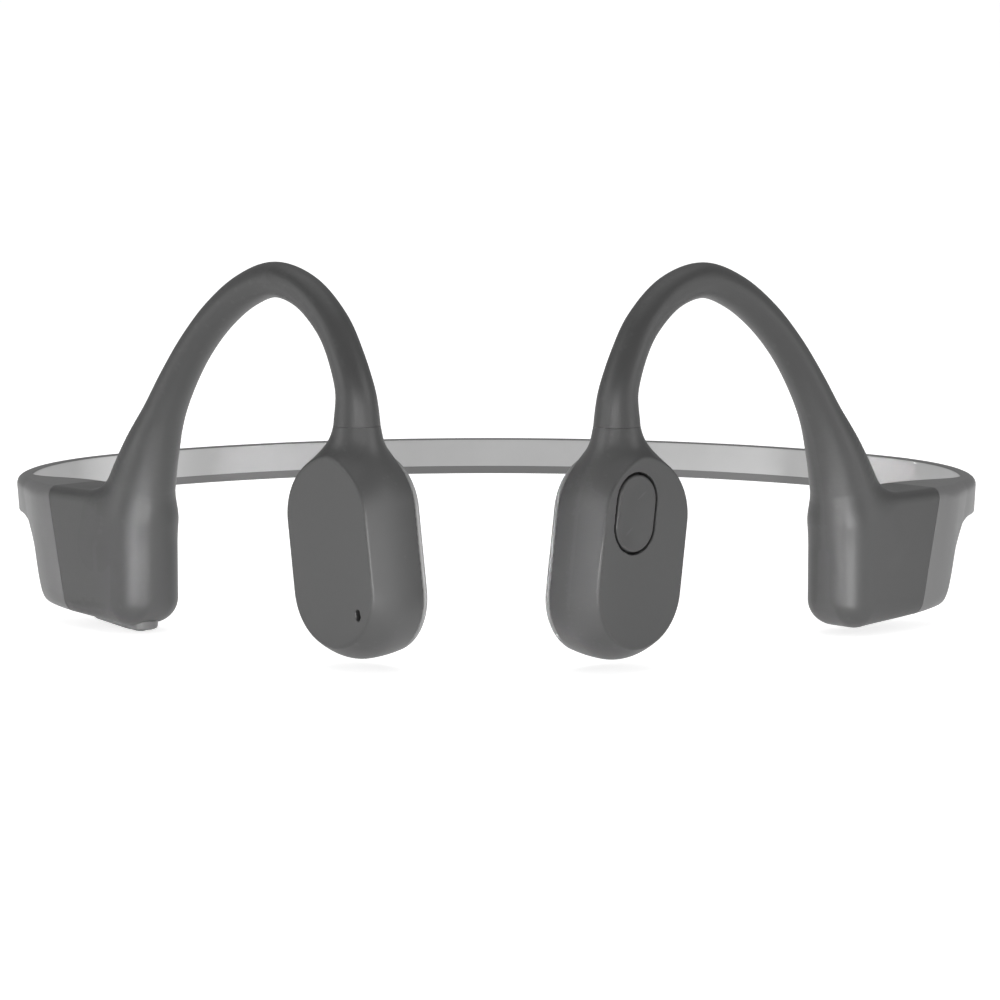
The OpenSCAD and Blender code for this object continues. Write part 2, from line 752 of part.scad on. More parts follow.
contact_pad("right");  // right_contact_pad
pad_gasket("right");  // right_pad_gasket
yoke("right");  // right_driver_yoke
magnet("right");  // right_driver_magnet
top_plate("right");  // right_driver_top_plate
coil("right");  // right_driver_coil
spider("right");  // right_driver_spider
post("right");  // right_driver_post
multifunction_button();
button_membrane();
button_switch();
button_board();
battery();
battery_board();
main_board();
radio_shield();
antenna();
volume_up_key();
volume_down_key();
key_bezel();
key_switches();
key_board();
status_light_pipe();
charging_port();
charging_contacts();
charging_magnets();
microphone();
microphone_mesh();
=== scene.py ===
import json
import math

import bmesh
import bpy
import numpy as np
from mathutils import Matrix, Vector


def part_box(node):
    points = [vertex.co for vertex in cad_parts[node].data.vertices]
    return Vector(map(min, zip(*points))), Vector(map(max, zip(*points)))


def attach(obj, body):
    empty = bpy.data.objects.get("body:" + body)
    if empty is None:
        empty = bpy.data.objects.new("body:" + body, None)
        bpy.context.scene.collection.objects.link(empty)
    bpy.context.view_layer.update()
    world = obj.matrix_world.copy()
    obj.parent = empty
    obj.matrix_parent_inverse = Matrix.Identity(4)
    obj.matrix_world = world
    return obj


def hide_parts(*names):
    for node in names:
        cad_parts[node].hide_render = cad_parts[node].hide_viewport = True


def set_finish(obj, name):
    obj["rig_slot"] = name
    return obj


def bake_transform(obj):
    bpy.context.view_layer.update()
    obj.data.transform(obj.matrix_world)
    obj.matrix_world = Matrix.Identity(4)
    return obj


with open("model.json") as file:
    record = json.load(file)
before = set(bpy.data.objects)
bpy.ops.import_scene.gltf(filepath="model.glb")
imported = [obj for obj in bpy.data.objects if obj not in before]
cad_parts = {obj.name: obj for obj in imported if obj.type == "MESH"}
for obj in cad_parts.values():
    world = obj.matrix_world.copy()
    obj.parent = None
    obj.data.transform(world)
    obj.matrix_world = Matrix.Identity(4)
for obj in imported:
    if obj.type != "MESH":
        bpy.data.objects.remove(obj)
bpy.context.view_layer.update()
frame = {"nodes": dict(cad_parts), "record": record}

import openvdb
from mathutils import Vector

MM = 0.001
SIDES = ("left", "right")
NODES = frame["nodes"]

# ---------------------------------------------------------------- camera
TARGET = Vector((0.00095, -0.0116, 0.0168))
CAMERA_AZIMUTH = math.radians(1.2)
CAMERA_ELEVATION = math.radians(7.13)
CAMERA_DISTANCE = 0.564
CAMERA_LENS = 158.5
CAMERA_SENSOR = 36
CAMERA_CLIP = 0.01


def make_camera():
    """A long lens in front of the object, a little above it."""
    camera = bpy.data.objects.new("camera", bpy.data.cameras.new("camera"))
    bpy.context.scene.collection.objects.link(camera)
    flat = math.cos(CAMERA_ELEVATION)
    towards = Vector((
        math.sin(CAMERA_AZIMUTH) * flat,
        -math.cos(CAMERA_AZIMUTH) * flat,
        math.sin(CAMERA_ELEVATION),
    ))
    camera.location = TARGET + towards * CAMERA_DISTANCE
    camera.rotation_euler = (-towards).to_track_quat("-Z", "Y").to_euler()
    camera.data.lens = CAMERA_LENS
    camera.data.sensor_width = CAMERA_SENSOR
    camera.data.clip_start = CAMERA_CLIP
    bpy.context.scene.camera = camera


make_camera()

# ---------------------------------------------------------------- plan of the set, in millimetres
# The same construction as the CAD model's: each arm is a straight line at 45 degrees, then the
# band turns round the side of the head and across its back.
ARM_TURN = math.radians(45)
TOP = 18.6
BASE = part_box("band_back_sleeve")[1].z / MM - TOP
BAND_HEIGHT = 5.0
BAND_HALF = 1.25
POD_HALF = 5.0
POD_FRONT = 37.2
POD_LOW = 1.5
UNDERSIDE_START = 41.0
UNDERSIDE_SLOPE = 0.1
SPLIT_TOP = 54.1
SPLIT_BOTTOM = 50.2
SPLIT_LEAN = (SPLIT_TOP - SPLIT_BOTTOM) / (TOP - POD_LOW)
SPLIT_GAP = 0.06
CORNER_X = 62.1
CORNER_RADIUS = 8.0
SIDE_RADIUS = 30.0
SIDE_TURN = math.radians(47)
SEAM_Z = 30.3

PAD_LOW, PAD_HIGH = (np.array(c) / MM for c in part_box("left_contact_pad"))
PUCK_TURN = math.radians(8)
PUCK_ALONG = 0.3
PUCK_CENTRE_Z = (PAD_LOW[2] + PAD_HIGH[2]) / 2 - BASE
PUCK_OUTER = -4.05
PUCK_INNER = 4.85
PAD_THICK = 0.7
PAD_EDGE = 0.35
GASKET_THICK = 0.2
PAD_WIDTH = 14.6
PAD_HEIGHT = 24.6


def arm_origin():
    """Where the left arm's own frame starts: the pad's centre, moved back to the arm's line."""
    pad = (PAD_LOW + PAD_HIGH) / 2
    along = PUCK_ALONG
    towards_head = PUCK_INNER - PAD_THICK / 2
    x = pad[0] - (along - towards_head) * math.cos(ARM_TURN)
    y = pad[1] - (along + towards_head) * math.sin(ARM_TURN)
    return x, y


ARM_X, ARM_Y = arm_origin()


def arm_to_world(points, side):
    """Points in an arm's frame (x along it, y to the head, z up, mm) as metres in the row frame."""
    p = np.asarray(points, float)
    c, s = math.cos(ARM_TURN), math.sin(ARM_TURN)
    x = ARM_X + c * p[:, 0] - s * p[:, 1]
    y = ARM_Y + s * p[:, 0] + c * p[:, 1]
    if side == "right":
        x = -x
    return np.stack([x, y, p[:, 2] + BASE], 1) * MM


def puck_to_arm(points):
    """Points in the transducer's frame (z along its height) in the arm's frame."""
    p = np.asarray(points, float)
    c, s = math.cos(PUCK_TURN), math.sin(PUCK_TURN)
    x = PUCK_ALONG + c * p[:, 0] + s * p[:, 2]
    z = PUCK_CENTRE_Z - s * p[:, 0] + c * p[:, 2]
    return np.stack([x, p[:, 1], z], 1)


def smooth(t):
    t = np.clip(t, 0, 1)
    return t * t * (3 - 2 * t)


def curve_at(rows, u):
    """Catmull-Rom curve through rows, at parameter u."""
    rows = np.asarray(rows, float)
    n = len(rows)
    i = int(max(min(math.floor(u), n - 2), 0))
    t = u - i
    p1, p2 = rows[i], rows[i + 1]
    p0 = rows[i - 1] if i > 0 else 2 * p1 - p2
    p3 = rows[i + 2] if i < n - 2 else 2 * p2 - p1
    return 0.5 * (
        2 * p1 + (p2 - p0) * t + (2 * p0 - 5 * p1 + 4 * p2 - p3) * t**2
        + (3 * p1 - p0 - 3 * p2 + p3) * t**3
    )


def underside(x):
    """Level of a pod's underside, at x along the arm."""
    return POD_LOW + UNDERSIDE_SLOPE * (np.maximum(x, UNDERSIDE_START) - UNDERSIDE_START)


# ---------------------------------------------------------------- meshes
# Faces that meet at more than this are shaded with a sharp edge between them
SHARP_ANGLE = math.radians(55)
# How far a smoothing step moves points inwards, and back outwards
SHRINK, GROW = 0.5, -0.52


def new_object(name, mesh):
    obj = bpy.data.objects.new(name, mesh)
    bpy.context.scene.collection.objects.link(obj)
    return obj


def mesh_object(name, points, faces, flip=False):
    """A mesh object from points in metres; flip turns the faces over, for a mirrored copy."""
    if flip:
        faces = [tuple(reversed(f)) for f in faces]
    mesh = bpy.data.meshes.new(name)
    mesh.from_pydata([tuple(p) for p in points], [], faces)
    mesh.update()
    mesh.polygons.foreach_set("use_smooth", [True] * len(mesh.polygons))
    mesh.set_sharp_from_angle(angle=SHARP_ANGLE)
    return new_object(name, mesh)


def make_outward(points, faces):
    """The faces, turned over if the closed mesh is inside out."""
    p = np.asarray(points)
    volume = 0.0
    for f in faces:
        a = p[f[0]]
        for i in range(1, len(f) - 1):
            volume += np.dot(a, np.cross(p[f[i]], p[f[i + 1]]))
    return faces if volume > 0 else [tuple(reversed(f)) for f in faces]


def ring_faces(rings):
    """Quads between neighbouring rings of points, and one face over each end."""
    n = len(rings[0])
    faces = []
    for j in range(len(rings) - 1):
        for i in range(n):
            k = (i + 1) % n
            faces.append((j * n + i, j * n + k, (j + 1) * n + k, (j + 1) * n + i))
    last = (len(rings) - 1) * n
    faces.append(tuple(range(n - 1, -1, -1)))
    faces.append(tuple(last + i for i in range(n)))
    return faces


def relax(points, quads, rounds):
    """Taubin smoothing: takes the voxel steps off a surface without shrinking it."""
    edges = np.concatenate([quads[:, [0, 1]], quads[:, [1, 2]], quads[:, [2, 3]], quads[:, [3, 0]]])
    count = np.bincount(edges[:, 0], minlength=len(points)) + np.bincount(
        edges[:, 1], minlength=len(points))
    p = points.copy()
    for step in range(2 * rounds):
        share = SHRINK if step % 2 == 0 else GROW
        mean = np.stack([
            (np.bincount(edges[:, 0], p[edges[:, 1], k], len(p))
             + np.bincount(edges[:, 1], p[edges[:, 0], k], len(p))) / count
            for k in range(3)], 1)
        p += share * (mean - p)
    return p


def surface(field, low, high, voxel, rounds=3):
    """Points (mm) and quads of the surface where field(x, y, z) is zero, in the box low to high."""
    axes = [np.arange(a, b + voxel, voxel) for a, b in zip(low, high)]
    x = axes[0][:, None, None]
    y = axes[1][None, :, None]
    z = axes[2][None, None, :]
    band = 3 * voxel
    values = np.clip(field(x, y, z), -band, band).astype(np.float32)
    grid = openvdb.FloatGrid(band)
    grid.copyFromArray(np.ascontiguousarray(values))
    points, quads = grid.convertToQuads(isovalue=0.0)
    points = points.astype(float) * voxel + np.array([a[0] for a in axes])
    quads = quads.astype(int)
    a, b, c = (points[quads[:, i]] for i in (0, 1, 2))
    if np.einsum("ij,ij->i", a, np.cross(b, c)).sum() < 0:
        quads = quads[:, ::-1]
    return relax(points, quads, rounds), quads


def smooth_min(a, b, k):
    """Union of two distance fields, with a fillet of about k."""
    h = np.maximum(k - np.abs(a - b), 0) / k
    return np.minimum(a, b) - h * h * k / 4


def round_max(a, b, r):
    """Intersection of two distance fields, with its edge rounded to radius r."""
    inside = np.minimum(np.maximum(a, b), -r)
    return inside + np.sqrt(np.maximum(a + r, 0) ** 2 + np.maximum(b + r, 0) ** 2)


def ellipse(dx, dy, rx, ry):
    """Distance from an ellipse, near enough."""
    k1 = np.sqrt((dx / rx) ** 2 + (dy / ry) ** 2)
    k2 = np.sqrt((dx / rx**2) ** 2 + (dy / ry**2) ** 2)
    return k1 * (k1 - 1) / np.maximum(k2, 1e-6)


def stadium(x, z, width, height):
    """Distance in the x-z plane from an upright stadium's outline."""
    r = width / 2
    over = np.maximum(np.abs(z) - (height / 2 - r), 0)
    return np.sqrt(x * x + over * over) - r


# ---------------------------------------------------------------- ear hook and pod
HOOK_LINE = [
    (0.2, SEAM_Z), (0.2, 34.5), (1.7, 38.6), (4.3, 42.5), (8.9, 45.95), (14.6, 47.2),
    (20.2, 45.5), (25.4, 42.2), (29.8, 38.1), (33.4, 33.6), (36.4, 28.9), (39.2, 23.6),
    (41.7, 17.5), (44.3, 12.0),
]
# Radius along the arm and across it
HOOK_SIZE = [
    (2.8, 2.95), (2.4, 2.5), (2.12, 2.3), (2.1, 2.25), (2.15, 2.25), (2.2, 2.25),
    (2.2, 2.25), (2.15, 2.3), (2.15, 2.35), (2.3, 2.5), (2.65, 2.85), (3.6, 3.75),
    (4.6, 4.4), (4.4, 4.0),
]
HOOK_STEPS = 8
# The front leg stands a little towards the head at the seam, less and less up to this level
HOOK_ASIDE = 0.4
HOOK_ASIDE_TOP = 37.3
HOOK_ASIDE_OVER = 7
HOOK_FILLET = 2.2
# Everything with a smaller x is the front leg, and with a larger x the pod and the leg behind
FRONT_LEG_END = 12
POD_SIDE = 30
# A distance well inside, where a cut doesn't apply
DEEP = -9.0
# Roundings of the pod's edges: the lower ones get sharper towards the back, between these two x,
# and the upper ones get rounder towards the front, where the pod runs into the hook
POD_LOW_EDGE = 3.4
POD_LOW_EDGE_BACK = 1.8
LOW_EDGE_SPAN = (40, 52)
POD_TOP_EDGE = 1.5
POD_TOP_EXTRA = 2.4
TOP_EDGE_SPAN = (40.5, 46.5)
POD_RIDGE = 4.2


def hook_field(x, y, z):
    """Distance from the ear hook. Its line lies in a plane, and its nearest point is found there."""
    px, pz = x[:, 0, :], z[0, :, :]
    px, pz = np.broadcast_arrays(px, pz)
    best = np.full(px.shape, 1e9)
    off = np.zeros(px.shape)
    rx = np.ones(px.shape)
    ry = np.ones(px.shape)
    count = (len(HOOK_LINE) - 1) * HOOK_STEPS
    stations = [i / HOOK_STEPS for i in range(count + 1)]
    line = np.array([curve_at(HOOK_LINE, u) for u in stations])
    size = np.array([curve_at(HOOK_SIZE, u) for u in stations])
    for i in range(count):
        a, b = line[i], line[i + 1]
        d = b - a
        t = np.clip(((px - a[0]) * d[0] + (pz - a[1]) * d[1]) / (d @ d), 0, 1)
        distance = np.hypot(px - a[0] - t * d[0], pz - a[1] - t * d[1])
        r1 = size[i, 0] + t * (size[i + 1, 0] - size[i, 0])
        r2 = size[i, 1] + t * (size[i + 1, 1] - size[i, 1])
        nearer = distance - r1 < best
        best = np.where(nearer, distance - r1, best)
        off = np.where(nearer, distance, off)
        rx = np.where(nearer, r1, rx)
        ry = np.where(nearer, r2, ry)
    aside = HOOK_ASIDE * smooth((HOOK_ASIDE_TOP - z) / HOOK_ASIDE_OVER) * (x < FRONT_LEG_END)
    return ellipse(off[:, None, :], y - aside, rx[:, None, :], ry[:, None, :])


def low_edge(x):
    """Rounding of a pod's lower edges, at x along the arm."""
    start, end = LOW_EDGE_SPAN
    return POD_LOW_EDGE + (POD_LOW_EDGE_BACK - POD_LOW_EDGE) * smooth((x - start) / (end - start))


def pod_section(x, y, z):
    """Distance from a pod's cross-section, a rectangle with different roundings below and above."""
    low = underside(x)
    middle = (TOP + low) / 2
    start, end = TOP_EDGE_SPAN
    top_edge = POD_TOP_EDGE + POD_TOP_EXTRA * smooth((end - x) / (end - start))
    edge = np.where(z < middle, low_edge(x), top_edge)
    qy = np.abs(y) - (POD_HALF - edge)
    qz = np.abs(z - middle) - ((TOP - low) / 2 - edge)
    outside = np.sqrt(np.maximum(qy, 0) ** 2 + np.maximum(qz, 0) ** 2)
    return outside + np.minimum(np.maximum(qy, qz), 0) - edge


def rounded_box(x, z, low, high, r):
    """Distance in the x-z plane from a rectangle with rounded corners."""
    qx = np.abs(x - (low[0] + high[0]) / 2) - ((high[0] - low[0]) / 2 - r)
    qz = np.abs(z - (low[1] + high[1]) / 2) - ((high[1] - low[1]) / 2 - r)
    outside = np.sqrt(np.maximum(qx, 0) ** 2 + np.maximum(qz, 0) ** 2)
    return outside + np.minimum(np.maximum(qx, qz), 0) - r


# Recess of a pod's cover in the arm's x and z, and the level of its floor along y
COVER_LOW, COVER_HIGH = (41.6, 3.6), (49.9, 16.8)
COVER_FLOOR = 3.7
COVER_ROUND = 1.8
COVER_GAP = 0.07
# The recess goes a little deeper than its floor, and the cover starts a little above it
RECESS_SLACK = 0.02
COVER_SLACK = 0.03
# How far the cover's face lies below the pod's, and the rounding of its edge
COVER_SUNK = 0.05
COVER_EDGE = 0.35
# Charging port: centre (x, z), length along the arm and height
PORT = (45.9, 6.6, 6.5, 3.7)
PORT_EDGE = 0.2
# Volume keys: their middle along the arm and their tilt, the recess for the bezel's rim (length,
# width and depth) and the slot above it
KEY_CENTRE = 44.4
KEY_TILT = math.atan(UNDERSIDE_SLOPE)
BEZEL = (10.26, 4.86, 0.73)
KEY_SLOT = (9.2, 3.6)
KEY_SLOT_TOP = 2.4


def to_keys(x, z):
    """The arm's x and z in the frame of the keys, which lie along the sloping underside."""
    c, s = math.cos(KEY_TILT), math.sin(KEY_TILT)
    dx, dz = x - KEY_CENTRE, z - float(underside(KEY_CENTRE))
    return c * dx + s * dz, c * dz - s * dx


def cut_out(both, x, y, z, side):
    """Takes the cover's recess and, on the right, the keys' slot out of the hook and pod."""
    recess = rounded_box(x, z, COVER_LOW, COVER_HIGH, COVER_ROUND)
    both = np.maximum(both, -np.maximum(recess, COVER_FLOOR - RECESS_SLACK - y))
    if side == "right":
        kx, kz = to_keys(x, z)
        bezel = np.maximum(stadium(y, kx, BEZEL[1], BEZEL[0]), kz - BEZEL[2])
        slot = np.maximum(stadium(y, kx, KEY_SLOT[1], KEY_SLOT[0]), kz - KEY_SLOT_TOP)
        both = np.maximum(both, -np.minimum(bezel, slot))
    return both


def hook_and_pod(x, y, z, side):
    """Distance from the ear hook with its pod; the front leg ends a little below the seam."""
    pod = pod_section(x, y, z)
    pod = round_max(pod, POD_FRONT - x, POD_RIDGE)
    both = smooth_min(hook_field(x, y, z), pod, HOOK_FILLET)
    both = cut_out(both, x, y, z, side)
    return np.maximum(both, np.where(x < FRONT_LEG_END, SEAM_Z - 1 - z, DEEP))


def cut_at(bm, geometry, point, normal):
    """Cuts away what lies beyond a plane, and closes the cut."""
    cut = bmesh.ops.bisect_plane(
        bm, geom=geometry, plane_co=point, plane_no=normal, clear_outer=True)
    rim = [e for e in cut["geom_cut"] if isinstance(e, bmesh.types.BMEdge)]
    bmesh.ops.contextual_create(bm, geom=rim)


def to_bmesh(points, quads):
    bm = bmesh.new()
    verts = [bm.verts.new(p) for p in points]
    for quad in quads:
        bm.faces.new([verts[i] for i in quad])
    return bm


def from_bmesh(bm):
    bm.verts.index_update()
    points = np.array([v.co for v in bm.verts])
    faces = [tuple(v.index for v in f.verts) for f in bm.faces]
    bm.free()
    return points, faces


def elements(bm, wanted):
    """The vertices that are wanted, with the edges and faces between them."""
    verts = {v for v in bm.verts if wanted(v.co)}
    edges = [e for e in bm.edges if all(v in verts for v in e.verts)]
    faces = [f for f in bm.faces if all(v in verts for v in f.verts)]
    return list(verts) + edges + faces


def hook_shape(side):
    """The hook and pod in the arm's frame, cut flat at the seam and at the leaning split."""
    voxel = 0.2
    low = (-3.5, -POD_HALF - 0.8, POD_LOW - 1)
    high = (SPLIT_TOP + 3, POD_HALF + 0.8, 50.5)
    bm = to_bmesh(*surface(lambda x, y, z: hook_and_pod(x, y, z, side), low, high, voxel))
    cut_at(bm, elements(bm, lambda p: p.x < FRONT_LEG_END), (0, 0, SEAM_Z), (0, 0, -1))
    normal = Vector((1, 0, -SPLIT_LEAN)).normalized()
    split = Vector((SPLIT_TOP, 0, TOP)) - normal * SPLIT_GAP / 2
    cut_at(bm, elements(bm, lambda p: p.x > POD_SIDE), split, normal)
    return from_bmesh(bm)


def make_hook(side):
    points, faces = hook_shape(side)
    obj = mesh_object(f"{side}_hook", arm_to_world(points, side), faces, side == "right")
    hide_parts(f"{side}_hook_moulding")
    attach(obj, f"{side}_arm")
    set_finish(obj, "hook_silicone")
    return obj


def make_cover(side):
    """The pod's cover on the head side, with rounded edges and on the right the port's hole."""
    def field(x, y, z):
        low = (COVER_LOW[0] + COVER_GAP, COVER_LOW[1] + COVER_GAP)
        high = (COVER_HIGH[0] - COVER_GAP, COVER_HIGH[1] - COVER_GAP)
        block = rounded_box(x, z, low, high, COVER_ROUND - COVER_GAP)
        block = round_max(block, y - (POD_HALF - COVER_SUNK), COVER_EDGE)
        if side == "right":
            hole = stadium(z - PORT[1], x - PORT[0], PORT[3], PORT[2])
            block = round_max(block, -hole, PORT_EDGE)
        return np.maximum(block, COVER_FLOOR + COVER_SLACK - y)

    voxel = 0.12
    points, quads = surface(field, (COVER_LOW[0] - 0.5, COVER_FLOOR - 0.4, COVER_LOW[1] - 0.5),
                            (COVER_HIGH[0] + 0.5, POD_HALF + 0.5, COVER_HIGH[1] + 0.5), voxel)
    world = arm_to_world(points, side)
    obj = mesh_object(f"{side}_cover", world, quads.tolist(), side == "right")
    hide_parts(f"{side}_pod_cover")
    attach(obj, f"{side}_arm")
    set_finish(obj, "dark_plastic")
    return obj


# ---------------------------------------------------------------- band
def plan_lengths():
    straight = (CORNER_X - ARM_X) / math.cos(ARM_TURN) - CORNER_RADIUS * math.tan(ARM_TURN / 2)
    corner = CORNER_RADIUS * (math.pi / 2 - ARM_TURN)
    side = SIDE_RADIUS * SIDE_TURN
    back_turn = math.pi / 2 - SIDE_TURN
    back_radius = (CORNER_X - SIDE_RADIUS * (1 - math.cos(SIDE_TURN))) / math.sin(back_turn)
    return straight, corner, side, back_radius, back_radius * back_turn


STRAIGHT, CORNER, SIDE, BACK_RADIUS, BACK = plan_lengths()
LINE = STRAIGHT + CORNER + SIDE + BACK


def turn_from(x, y, heading, radius, angle):
    return (x + radius * (math.sin(heading + angle) - math.sin(heading)),
            y - radius * (math.cos(heading + angle) - math.cos(heading)), heading + angle)


def plan_at(t):
    """x, y (mm, row frame) and heading of the left half's centre line, at distance t along it."""
    spot = (ARM_X + min(t, STRAIGHT) * math.cos(ARM_TURN),
            ARM_Y + min(t, STRAIGHT) * math.sin(ARM_TURN), ARM_TURN)
    t -= STRAIGHT
    for length, radius in ((CORNER, CORNER_RADIUS), (SIDE, SIDE_RADIUS), (BACK, BACK_RADIUS)):
        if t > 0:
            spot = turn_from(*spot, radius, min(t, length) / radius)
            t -= length
    return spot


def place(t, q, z, side):
    """A point at distance t along the line, q outward and at level z, in metres."""
    x, y, heading = plan_at(t)
    x += q * math.sin(heading)
    y -= q * math.cos(heading)
    return ((-x if side == "right" else x) * MM, y * MM, (z + BASE) * MM)


# An arc takes at most this share of the shorter side. The point beside it is at most so many mm, and
# at most such a share of the side, away from it
ARC_SHARE = 0.48
GUARD, GUARD_SHARE = 0.25, 0.2


def rounded_ring(corners, radii, steps=6):
    """Points round a polygon with rounded corners, and a point on each side of every arc."""
    ring = []
    n = len(corners)
    for i in range(n):
        before, here, after = (np.array(corners[(i + k) % n], float) for k in (-1, 0, 1))
        a, b = before - here, after - here
        la, lb = np.linalg.norm(a), np.linalg.norm(b)
        a, b = a / la, b / lb
        half = math.acos(np.clip(a @ b, -1, 1)) / 2
        reach = min(radii[i] / math.tan(half), ARC_SHARE * la, ARC_SHARE * lb)
        r = reach * math.tan(half)
        middle = here + (a + b) / np.linalg.norm(a + b) * (r / math.sin(half))
        start, end = here + a * reach, here + b * reach
        v0, v1 = start - middle, end - middle
        sweep = math.acos(np.clip(v0 @ v1 / (r * r), -1, 1))
        ring.append(start + a * min(GUARD, GUARD_SHARE * la))
        for k in range(steps + 1):
            s = k / steps
            ring.append(middle + (math.sin((1 - s) * sweep) * v0 + math.sin(s * sweep) * v1)
                        / math.sin(sweep))
        ring.append(end + b * min(GUARD, GUARD_SHARE * lb))
    return ring


# Distances along the line: the lean of the split dies out, the end piece thins into the band,
# its underside steps up to the band's, and the inner face turns a lighter grey, painted light for
# the light that falls on it
LEAN_OVER = 7
TAPER_START = 55.2
TAPER = 13.0
STEP_START = 57.4
STEP_LENGTH = 8.6
UNDERSIDE_END = 57.0
PAINTED_LIGHT_START = 60
PAINTED_LIGHT_OVER = 6
# Roundings of the band's corners, from the outer lower one round over the top, and of the middle
# corner on the head side of the pod's end
BAND_RADII = (0.5, 1.1, 0.35, 0.12, 0.25)
HEAD_SIDE_ROUND = 6
# Where the closely spaced stations end, and the points of a ring that lie on the inner face, which
# get the painted light
FINE_END = 70
INNER_FACE = range(23, 32)


def band_section(t):
    """Corners (q outward, z) and their radii: a pod's end, changing into the band."""
    lean = SPLIT_LEAN * (1 - min(max((t - SPLIT_TOP) / LEAN_OVER, 0), 1))
    u = min(max((t - STEP_START) / STEP_LENGTH, 0), 1)
    rise = (1 - (1 - u) ** 3) * float(smooth(4 * u))
    low = POD_LOW
    for _ in range(4):
        low = float(underside(min(t - lean * (TOP - low), UNDERSIDE_END)))
        low += rise * (TOP - BAND_HEIGHT - low)
    m = float(smooth((t - TAPER_START) / TAPER))
    half = POD_HALF + m * (BAND_HALF - POD_HALF)
    # The middle corner of the head side stands out a hair, so it is never quite straight
    box = [(half, low), (half, TOP), (-half, TOP), (-half - 0.02, (low + TOP) / 2), (-half, low)]
    band = [(1.05, low), (half, TOP), (-half + 0.35, TOP),
            (-half, low + 1.2), (-half + 0.9, low)]
    corners = [(a[0] + m * (b[0] - a[0]), a[1] + m * (b[1] - a[1])) for a, b in zip(box, band)]
    edge = float(low_edge(t))
    box_radii = (edge, POD_TOP_EDGE, POD_TOP_EDGE, HEAD_SIDE_ROUND, edge)
    radii = [a + m * (b - a) for a, b in zip(box_radii, BAND_RADII)]
    return corners, radii, lean


def make_half_band(side):
    """Half of the neckband with its end piece, from the pod's split to the middle of the back."""
    fine = np.arange(SPLIT_TOP + SPLIT_GAP / 2, FINE_END, 0.3)
    stations = list(fine) + list(np.linspace(FINE_END, LINE, 100))
    rings = []
    painted_light_shares = []
    for t in stations:
        corners, radii, lean = band_section(t)
        rings.append([place(t - lean * (TOP - z), q, z, side)
                      for q, z in rounded_ring(corners, radii)])
        # Share of painted light on the inner face: a lighter grey that stands in for the strong
        # light falling on it
        light = float(smooth((t - PAINTED_LIGHT_START) / PAINTED_LIGHT_OVER))
        painted_light_shares += [light if i in INNER_FACE else 0.0 for i in range(len(rings[-1]))]
    points = [p for ring in rings for p in ring]
    obj = mesh_object(f"{side}_half_band", points, make_outward(points, ring_faces(rings)))
    # The "tone" attribute carries the painted light's share to the band's material
    tone = obj.data.attributes.new("tone", "FLOAT", "POINT")
    tone.data.foreach_set("value", painted_light_shares)
    return obj


def make_core(name, side, radius, up, start):
    """A wire or lead inside the band, from start along the line to the middle of the back."""
    rings = []
    level = TOP - BAND_HEIGHT / 2 + up
    angles = [2 * math.pi * k / CORE_SIDES for k in range(CORE_SIDES)]
    for t in np.linspace(start, LINE, 90):
        rings.append([place(t, radius * math.cos(a), level + radius * math.sin(a), side)
                      for a in angles])
    points = [p for ring in rings for p in ring]
    return mesh_object(name, points, make_outward(points, ring_faces(rings)))


# Radius of the wire and of the lead, and how far they lie above the band's middle
WIRE = (0.5, 0.68)
LEAD = (0.45, -0.68)
CORE_START = 49.5
CORE_SIDES = 12


def flex_with(obj):
    """Bakes the piece's transform into its mesh; nothing bends."""
    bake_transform(obj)


def make_band():
    made = []
    for side in SIDES:
        band = make_half_band(side)
        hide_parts(f"{side}_band_sleeve", "band_back_sleeve")
        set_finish(band, "band_silicone")
        wire = make_core(f"{side}_neckband_wire", side, *WIRE, CORE_START)
        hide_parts(f"{side}_band_wire", "band_back_wire")
        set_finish(wire, "spring_wire")
        lead = make_core(f"{side}_neckband_lead", side, *LEAD, CORE_START)
        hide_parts(f"{side}_band_lead", "band_back_lead")
        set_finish(lead, "lead_jacket")
        for obj in (band, wire, lead):
            flex_with(obj)
            made.append(obj)
    return made


# ---------------------------------------------------------------- transducers
# Centre along the arm, level, radius along it and across, centre across
NECK = [
    (1.9, 20, 5.9, 3.6, 0.5), (1.6, 23, 5.6, 3.7, 0.5), (1.2, 25, 4.9, 3.7, 0.55),
    (0.7, 27, 3.9, 3.5, 0.5), (0.35, 28.8, 3.25, 3.2, 0.45), (0.2, SEAM_Z, 2.8, 2.95, HOOK_ASIDE),
    (0.2, SEAM_Z + 1, 2.7, 2.85, HOOK_ASIDE),
]
# Width, height and centre (x, z) of the outer face, of the widest part, and of the rim by the pad
FACE = (14.3, 22.9, 0.0, 0.5)
WIDEST = (15.2, 25.4, 0.05, 0.0)
RIM = (14.8, 24.8, 0.0, 0.0)
WIDEST_AT = 4.5
# Centre (x, z), width and height, in the transducer's frame
BUTTON = (-2.0, 5.4, 6.4, 9.4)
MICROPHONE = (-4.1, -7.1, 0.8, 1.35)
BUTTON_GAP = 0.27
BUTTON_EDGE = 0.3
BUTTON_FOOT = 0.85
BUTTON_DISH = 0.22
BUTTON_DISH_WIDTH = 2.6
HOLE_DEPTH = 1.5
NECK_FILLET = 2.6


def neck_field(x, y, z):
    """Distance from the neck: a stack of level ellipses."""
    levels = np.linspace(0, len(NECK) - 1, 60)
    rows = np.array([curve_at(NECK, u) for u in levels])
    zz = np.clip(z, NECK[0][1], SEAM_Z + 1)
    cx, rx, ry, cy = (np.interp(zz, rows[:, 1], rows[:, k]) for k in (0, 2, 3, 4))
    return ellipse(x - cx, y - cy, rx, ry)


def to_puck(x, z):
    """The arm's x and z in the transducer's frame."""
    c, s = math.cos(PUCK_TURN), math.sin(PUCK_TURN)
    dx, dz = x - PUCK_ALONG, z - PUCK_CENTRE_Z
    return c * dx - s * dz, s * dx + c * dz


